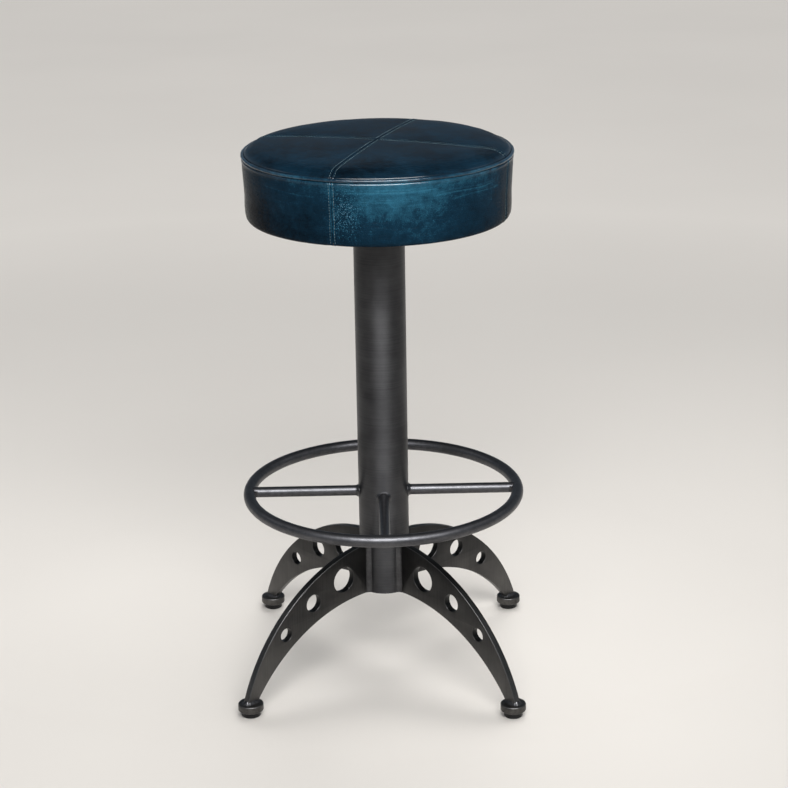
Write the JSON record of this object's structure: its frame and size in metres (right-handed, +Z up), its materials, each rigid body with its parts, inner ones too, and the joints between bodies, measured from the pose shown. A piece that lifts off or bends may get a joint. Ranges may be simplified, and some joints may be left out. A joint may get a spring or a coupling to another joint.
{
  "type": "bar stool",
  "caption": "Bar stool: a round leather seat that swivels on a steel column, with curved plate legs, levelling feet and a ring footrest.",
  "frame": {"origin": "on the floor below the middle of the column, at the bottom centre of the part's box", "axes": "+Z up along the column; the legs stand on the diagonals between X and Y; -Y is the side the picture shows"},
  "size_m": [0.4086, 0.4086, 0.793],
  "materials": {
    "column_steel": "dark gunmetal, brushed round the tube",
    "plate_steel": "dark satin gunmetal with rubbed edges",
    "collar_steel": "dark turned steel",
    "bar_steel": "dark satin gunmetal, rubbed bright in use",
    "weld_steel": "dark dressed weld",
    "bearing_steel": "oiled pressed steel",
    "zinc_steel": "bright zinc plate",
    "pad_plastic": "black moulded pad",
    "plywood": "birch plywood",
    "foam": "seat foam",
    "dust_cloth": "black non-woven cloth",
    "leather": "deep teal hand-dyed hide, waxed gloss",
    "piping_leather": "deep teal hide over a cord"
  },
  "bodies": {
    "base": {"column_tube": "column_steel", "column_top_plate": "column_steel", "leg_back_right": "plate_steel", "leg_back_left": "plate_steel", "leg_front_left": "plate_steel", "leg_front_right": "plate_steel", "foot_collar_back_right": "collar_steel", "foot_collar_back_left": "collar_steel", "foot_collar_front_left": "collar_steel", "foot_collar_front_right": "collar_steel", "footrest_ring": "bar_steel", "footrest_spoke_right": "bar_steel", "footrest_spoke_back": "bar_steel", "footrest_spoke_left": "bar_steel", "footrest_spoke_front": "bar_steel", "leg_welds": "weld_steel", "foot_welds": "weld_steel", "spoke_welds": "weld_steel", "top_plate_weld": "weld_steel", "swivel_lower_plate": "bearing_steel", "swivel_balls": "bearing_steel", "swivel_ball_cage": "bearing_steel", "swivel_pivot": "bearing_steel", "swivel_screws": "zinc_steel"},
    "seat": {"swivel_upper_plate": "bearing_steel", "seat_bolts": "zinc_steel", "seat_washers": "zinc_steel", "seat_tee_nuts": "zinc_steel", "cover_staples": "zinc_steel", "seat_board": "plywood", "seat_foam": "foam", "dust_cover": "dust_cloth", "top_panel_back_right": "leather", "top_panel_back_left": "leather", "top_panel_front_left": "leather", "top_panel_front_right": "leather", "side_panel_back_right": "leather", "side_panel_back_left": "leather", "side_panel_front_left": "leather", "side_panel_front_right": "leather", "seat_piping": "piping_leather"},
    "leveller_back_right": {"leveller_stud_back_right": "zinc_steel", "leveller_pad_back_right": "pad_plastic"},
    "leveller_back_left": {"leveller_stud_back_left": "zinc_steel", "leveller_pad_back_left": "pad_plastic"},
    "leveller_front_left": {"leveller_stud_front_left": "zinc_steel", "leveller_pad_front_left": "pad_plastic"},
    "leveller_front_right": {"leveller_stud_front_right": "zinc_steel", "leveller_pad_front_right": "pad_plastic"}
  },
  "joints": [
    {"name": "seat_swivel", "type": "hinge", "parent": "base", "child": "seat", "pos_m": [0, 0, 0.68], "axis": [0, 0, 1], "continuous": true},
    {"name": "leveller_back_right_screw", "type": "slide", "parent": "base", "child": "leveller_back_right", "axis": [0, 0, -1], "range_m": [0, 0.006]},
    {"name": "leveller_back_left_screw", "type": "slide", "parent": "base", "child": "leveller_back_left", "axis": [0, 0, -1], "range_m": [0, 0.006]},
    {"name": "leveller_front_left_screw", "type": "slide", "parent": "base", "child": "leveller_front_left", "axis": [0, 0, -1], "range_m": [0, 0.006]},
    {"name": "leveller_front_right_screw", "type": "slide", "parent": "base", "child": "leveller_front_right", "axis": [0, 0, -1], "range_m": [0, 0.006]}
  ]
}
